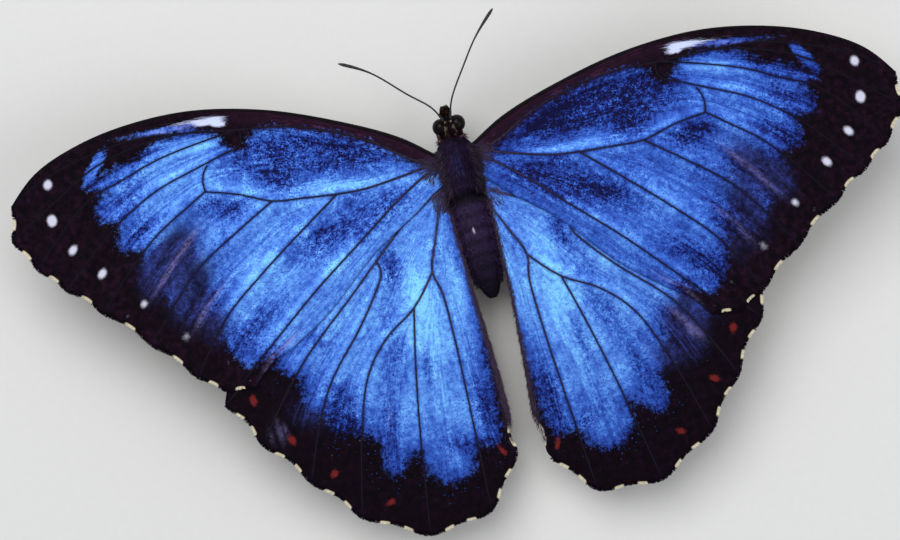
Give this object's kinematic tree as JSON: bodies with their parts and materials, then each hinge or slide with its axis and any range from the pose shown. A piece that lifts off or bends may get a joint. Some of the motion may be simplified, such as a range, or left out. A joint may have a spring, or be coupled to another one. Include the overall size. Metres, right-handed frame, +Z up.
{
  "type": "blue morpho butterfly, still model",
  "caption": "Blue morpho butterfly at life size, standing with its wings spread nearly flat, blue above with a dark scalloped border.",
  "frame": {"origin": "on the floor, below the middle of the bounding box of the standing butterfly", "axes": "+Z up, the head towards -Y, the animal's left wings towards +X"},
  "size_m": [0.1306, 0.0738, 0.0174],
  "materials": {
    "body": "dark brown scales and short hair",
    "head": "dark brown short hair",
    "eye": "glossy compound eye",
    "palp": "brown scaled",
    "antenna": "smooth dark shaft and club",
    "leg": "brown scaled",
    "wing": "iridescent blue scales with a brown-black border"
  },
  "bodies": {
    "root": {"head": "head", "eye_left": "eye", "eye_right": "eye", "palp_left": "palp", "palp_right": "palp", "proboscis": "leg", "antenna_left": "antenna", "antenna_right": "antenna", "thorax": "body", "abdomen": "body", "leg_fore_left": "leg", "leg_fore_right": "leg", "leg_mid_left": "leg", "leg_mid_right": "leg", "leg_hind_left": "leg", "leg_hind_right": "leg", "forewing_left": "wing", "forewing_right": "wing", "hindwing_left": "wing", "hindwing_right": "wing"}
  },
  "joints": []
}
